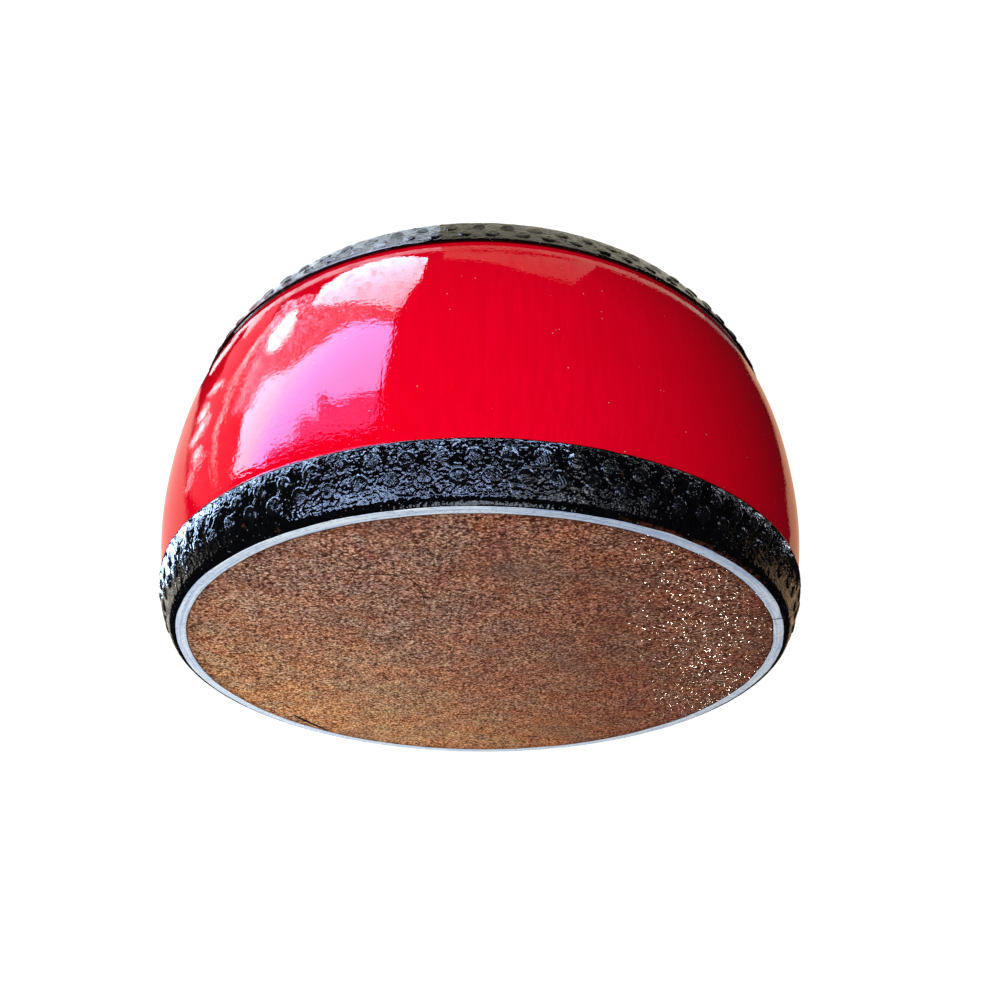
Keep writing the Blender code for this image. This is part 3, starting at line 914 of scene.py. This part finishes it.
# Upright cards: name, the two ends of the foot, lower and upper height, colour, strength and mottling.
CARDS = [
    ("front", (-0.40, -2.2), (0.75, -2.2), 0.78, 1.35, (0.48, 0.62, 1.0), 29, (6, 0.52, 0.54, 0.0)),
    ("side", (0.9, -2.1), (1.9, -1.2), 0.62, 1.30, (0.46, 0.62, 1.0), 27, (5, 0.49, 0.51, 0.0)),
    ("other", (-0.45, -2.2), (-1.3, -1.8), 0.75, 1.35, (0.80, 0.88, 1.0), 9, (4, 0.51, 0.54, 0.0)),
    ("other_side", (-1.7, -1.4), (-1.3, -1.8), 0.60, 1.30, (0.85, 0.90, 1.0), 5, (5, 0.52, 0.56, 0.0)),
    ("behind", (0.9, 2.4), (-0.9, 2.4), 0.30, 0.75, (0.80, 0.90, 1.0), 4, (3, 0.44, 0.52, 0.1)),
]


# The floor, the world and what the glossy finishes mirror.


def seen_directly(tree):
    """1 for rays from the camera and for mirrored or refracted ones, and 0 for those that light."""
    path = add_node(tree, "ShaderNodeLightPath").outputs
    total = path["Is Camera Ray"]
    for name in ("Is Glossy Ray", "Is Transmission Ray"):
        total = add_node(tree, "ShaderNodeMath", {0: total, 1: path[name]}, operation="MAXIMUM").outputs[0]
    return total


def scaled(tree, value, low, high, start=0.0, stop=1.0):
    """The value taken from the range start to stop to the range low to high."""
    inputs = {0: value, 1: start, 2: stop, 3: low, 4: high}
    return add_node(tree, "ShaderNodeMapRange", inputs).outputs[0]


def add_world(fill_light):
    world = bpy.data.worlds.new("studio")
    bpy.context.scene.world = world
    world.use_nodes = True
    tree = world.node_tree
    light = scaled(tree, seen_directly(tree), fill_light, 1.0)
    fill(tree, tree.nodes["Background"], {0: (1, 1, 1), 1: light})


def stage_shape(name, places, faces=None):
    """A piece of the stage: one face through all the places, unless the faces are given."""
    mesh = bpy.data.meshes.new(name)
    mesh.from_pydata(places, [], faces or [list(range(len(places)))])
    thing = place_in_scene(name, mesh)
    return thing


def unsampled_material(name):
    """A material whose own light isn't sampled as a lamp."""
    material = bpy.data.materials.new(name)
    material.use_nodes = True
    material.cycles.emission_sampling = "NONE"
    return material, material.node_tree


def add_floor(albedo, glow):
    reach = 30
    corners = ((-1, -1), (1, -1), (1, 1), (-1, 1))
    floor = stage_shape("floor", [(x * reach, y * reach, 0) for x, y in corners])
    material, tree = unsampled_material("floor")
    inputs = {
        "Base Color": (albedo, albedo, albedo),
        "Roughness": 1,
        "Specular IOR Level": 0,
        "Emission Color": (1, 1, 1),
        "Emission Strength": scaled(tree, seen_directly(tree), 0.0, glow),
    }
    fill(tree, tree.nodes["Principled BSDF"], inputs)
    floor.data.materials.append(material)


def glow_material(name, colour, strength, mottle=None, second=None):
    """Light of one colour, or of two: the second one takes over towards -Y.

    Mottling is the scale of the gaps in the light, the noise at which a gap ends and at which the light is
    full, and the share of light in a gap."""
    material, tree = unsampled_material(name)
    tree.nodes.clear()
    place = add_node(tree, "ShaderNodeTexCoord").outputs["Object"]
    if mottle:
        scale, gap_end, full, least = mottle
        inputs = {"Vector": place, "Scale": scale, "Detail": 6, "Roughness": 0.7}
        leaves = add_node(tree, "ShaderNodeTexNoise", inputs).outputs[0]
        strength = scaled(tree, leaves, least * strength, strength, gap_end, full)
    if second:
        inputs = {0: place, 1: (-0.1, -1, 0)}
        toward = add_node(tree, "ShaderNodeVectorMath", inputs, operation="DOT_PRODUCT").outputs["Value"]
        inputs = {0: scaled(tree, toward, 0, 1, 0.26, 0.34), 6: colour, 7: second}
        colour = add_node(tree, "ShaderNodeMix", inputs, data_type="RGBA").outputs[2]
    glow = add_node(tree, "ShaderNodeEmission", {0: colour, 1: strength})
    add_node(tree, "ShaderNodeOutputMaterial", {0: glow.outputs[0]})
    return material


def add_mirrored(name, places, faces, *glow):
    """A shape of light that the lacquer and the glossy paint mirror, and that is otherwise not there."""
    name = "mirrored_" + name
    thing = stage_shape(name, places, faces)
    for rays in ("camera", "diffuse", "shadow", "transmission", "volume_scatter"):
        setattr(thing, "visible_" + rays, False)
    thing.data.materials.append(glow_material(name, *glow))


def add_patch(name, corners, height, *glow):
    add_mirrored(name, [(x, y, height) for x, y in corners], None, *glow)


def add_strip(name, inside, outside, start, stop, height, *glow):
    """A band of light round the drum, from one bearing to another, in degrees from -Y to +X."""
    turns = [math.radians(start + (stop - start) * i / 40) for i in range(41)]
    outer = [(outside * math.sin(t), -outside * math.cos(t)) for t in turns]
    inner = [(inside * math.sin(t), -inside * math.cos(t)) for t in reversed(turns)]
    add_patch(name, outer + inner, height, *glow)


def add_card(name, left, right, low, high, *glow):
    """An upright card of light between two places on the floor."""
    add_mirrored(name, [(*left, low), (*right, low), (*right, high), (*left, high)], None, *glow)


def add_dark_room(reach):
    """A dark bowl over everything, so that glossy black stays black between the lights."""
    columns, rows = 48, 12
    rises = [math.radians(90 * i / rows) for i in range(rows)]
    turns = [2 * math.pi * i / columns for i in range(columns)]
    places = [
        (reach * math.cos(r) * math.cos(t), reach * math.cos(r) * math.sin(t), reach * math.sin(r))
        for r in rises
        for t in turns
    ]
    places.append((0, 0, reach))
    index = np.arange(rows * columns).reshape(rows, columns)
    faces = loop_quads(index[:-1], index[1:]).tolist()
    rim = index[-1].tolist()
    faces += [(rim[i], rim[(i + 1) % columns], len(places) - 1) for i in range(columns)]
    add_mirrored("dark_room", places, faces, (0.5, 0.5, 0.55), DARK)


def add_surroundings():
    """What the glossy finishes mirror: dark ground and a dark room, with sky, trees and warm walls."""
    reach = 3.0
    around = [(reach * math.cos(i * math.pi / 24), reach * math.sin(i * math.pi / 24)) for i in range(48)]
    add_patch("ground", around, 0.0020, (0.5, 0.4, 0.4), DARK)
    add_dark_room(reach)
    for name, outline, *rest in FLOOR_PATCHES:
        add_patch(name, [(x / 1000, y / 1000) for x, y in outline], *rest)
    for strip in FOOT_STRIPS:
        add_strip(*strip)
    overhead = [(-0.22, -0.30), (0.22, -0.30), (0.22, 0.55), (-0.22, 0.55)]
    add_patch("overhead", overhead, 1.5, (0.75, 0.86, 1.0), 8, (8, 0.42, 0.56, 0.1))
    for strip in SHELF_STRIPS:
        add_strip(*strip)
    for card in CARDS:
        add_card(*card)
    window = [(-0.30, 0.50), (0.10, 0.50), (0.16, 1.30), (-0.44, 1.30)]
    add_patch("window_behind", window, 0.0045, (0.80, 0.90, 1.0), 5)


def add_lamp(name, place, target, size, power, colour=(1, 1, 1)):
    data = bpy.data.lights.new(name, "AREA")
    data.shape = "RECTANGLE"
    data.size, data.size_y = size
    data.energy = power
    data.color = colour
    lamp = place_in_scene(name, data)
    lamp.location = place
    way = Vector(target) - Vector(place)
    lamp.rotation_mode = "QUATERNION"
    lamp.rotation_quaternion = way.to_track_quat("-Z", "Y")
    return lamp


def add_camera():
    """The photograph's camera, which sees the drum upside down: its own up is near the world's down."""
    data = bpy.data.cameras.new("camera")
    data.sensor_width = 36
    data.lens = 30.83
    data.clip_start, data.clip_end = 0.01, 100
    right = (-0.99975597, -0.02197512, 0.00225672)
    up = (0.01012297, -0.54653714, -0.83737368)
    back = (0.01963477, -0.83714649, 0.54662623)
    place = (0.0, -0.693468, 0.544181)
    camera = place_in_scene("camera", data)
    camera.matrix_world = Matrix.Translation(place) @ Matrix((right, up, back)).transposed().to_4x4()
    bpy.context.scene.camera = camera


# The scene.

add_staves(red_lacquer())
add_hides(
    {
        "hide": brown_hide(),
        "dark": scratch_finish("dark_scratch", (0.008, 0.004, 0.003), (0.020, 0.010, 0.007)),
        "pale": scratch_finish("pale_scratch", (0.50, 0.26, 0.16), (0.62, 0.36, 0.24)),
        "ring": white_ring(),
        "black": black_paint("black_gloss_paint", (0.02, 0.05), 0.56, 1.0),
        # The pegs' paler black is a painted reflection.
        "peg": black_paint("black_peg_paint", (0.02, 0.06), 0.26, 2.0),
    }
)
pin_material = bamboo()
for number in range(STAVE_COUNT):
    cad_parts[f"seam_pin_{number + 1:02d}"].material_slots[0].material = pin_material

add_world(0.25)
add_floor(0.42, 0.93)
add_surroundings()
add_lamp("key", (0.75, -1.5, 0.75), (0, 0, 0.13), (0.7, 0.7), 25).visible_glossy = False
add_lamp("top", (0.50, 0.50, 0.80), (0.05, 0.05, 0.26), (0.4, 0.4), 4).visible_glossy = False
glint = add_lamp("glint", (-0.55, 1.27, 0.90), (-0.17, -0.09, 0.26), (0.06, 0.06), 3.0, (1.0, 0.90, 0.72))
glint.visible_diffuse = False
add_camera()
bpy.context.scene.view_settings.view_transform = "Standard"
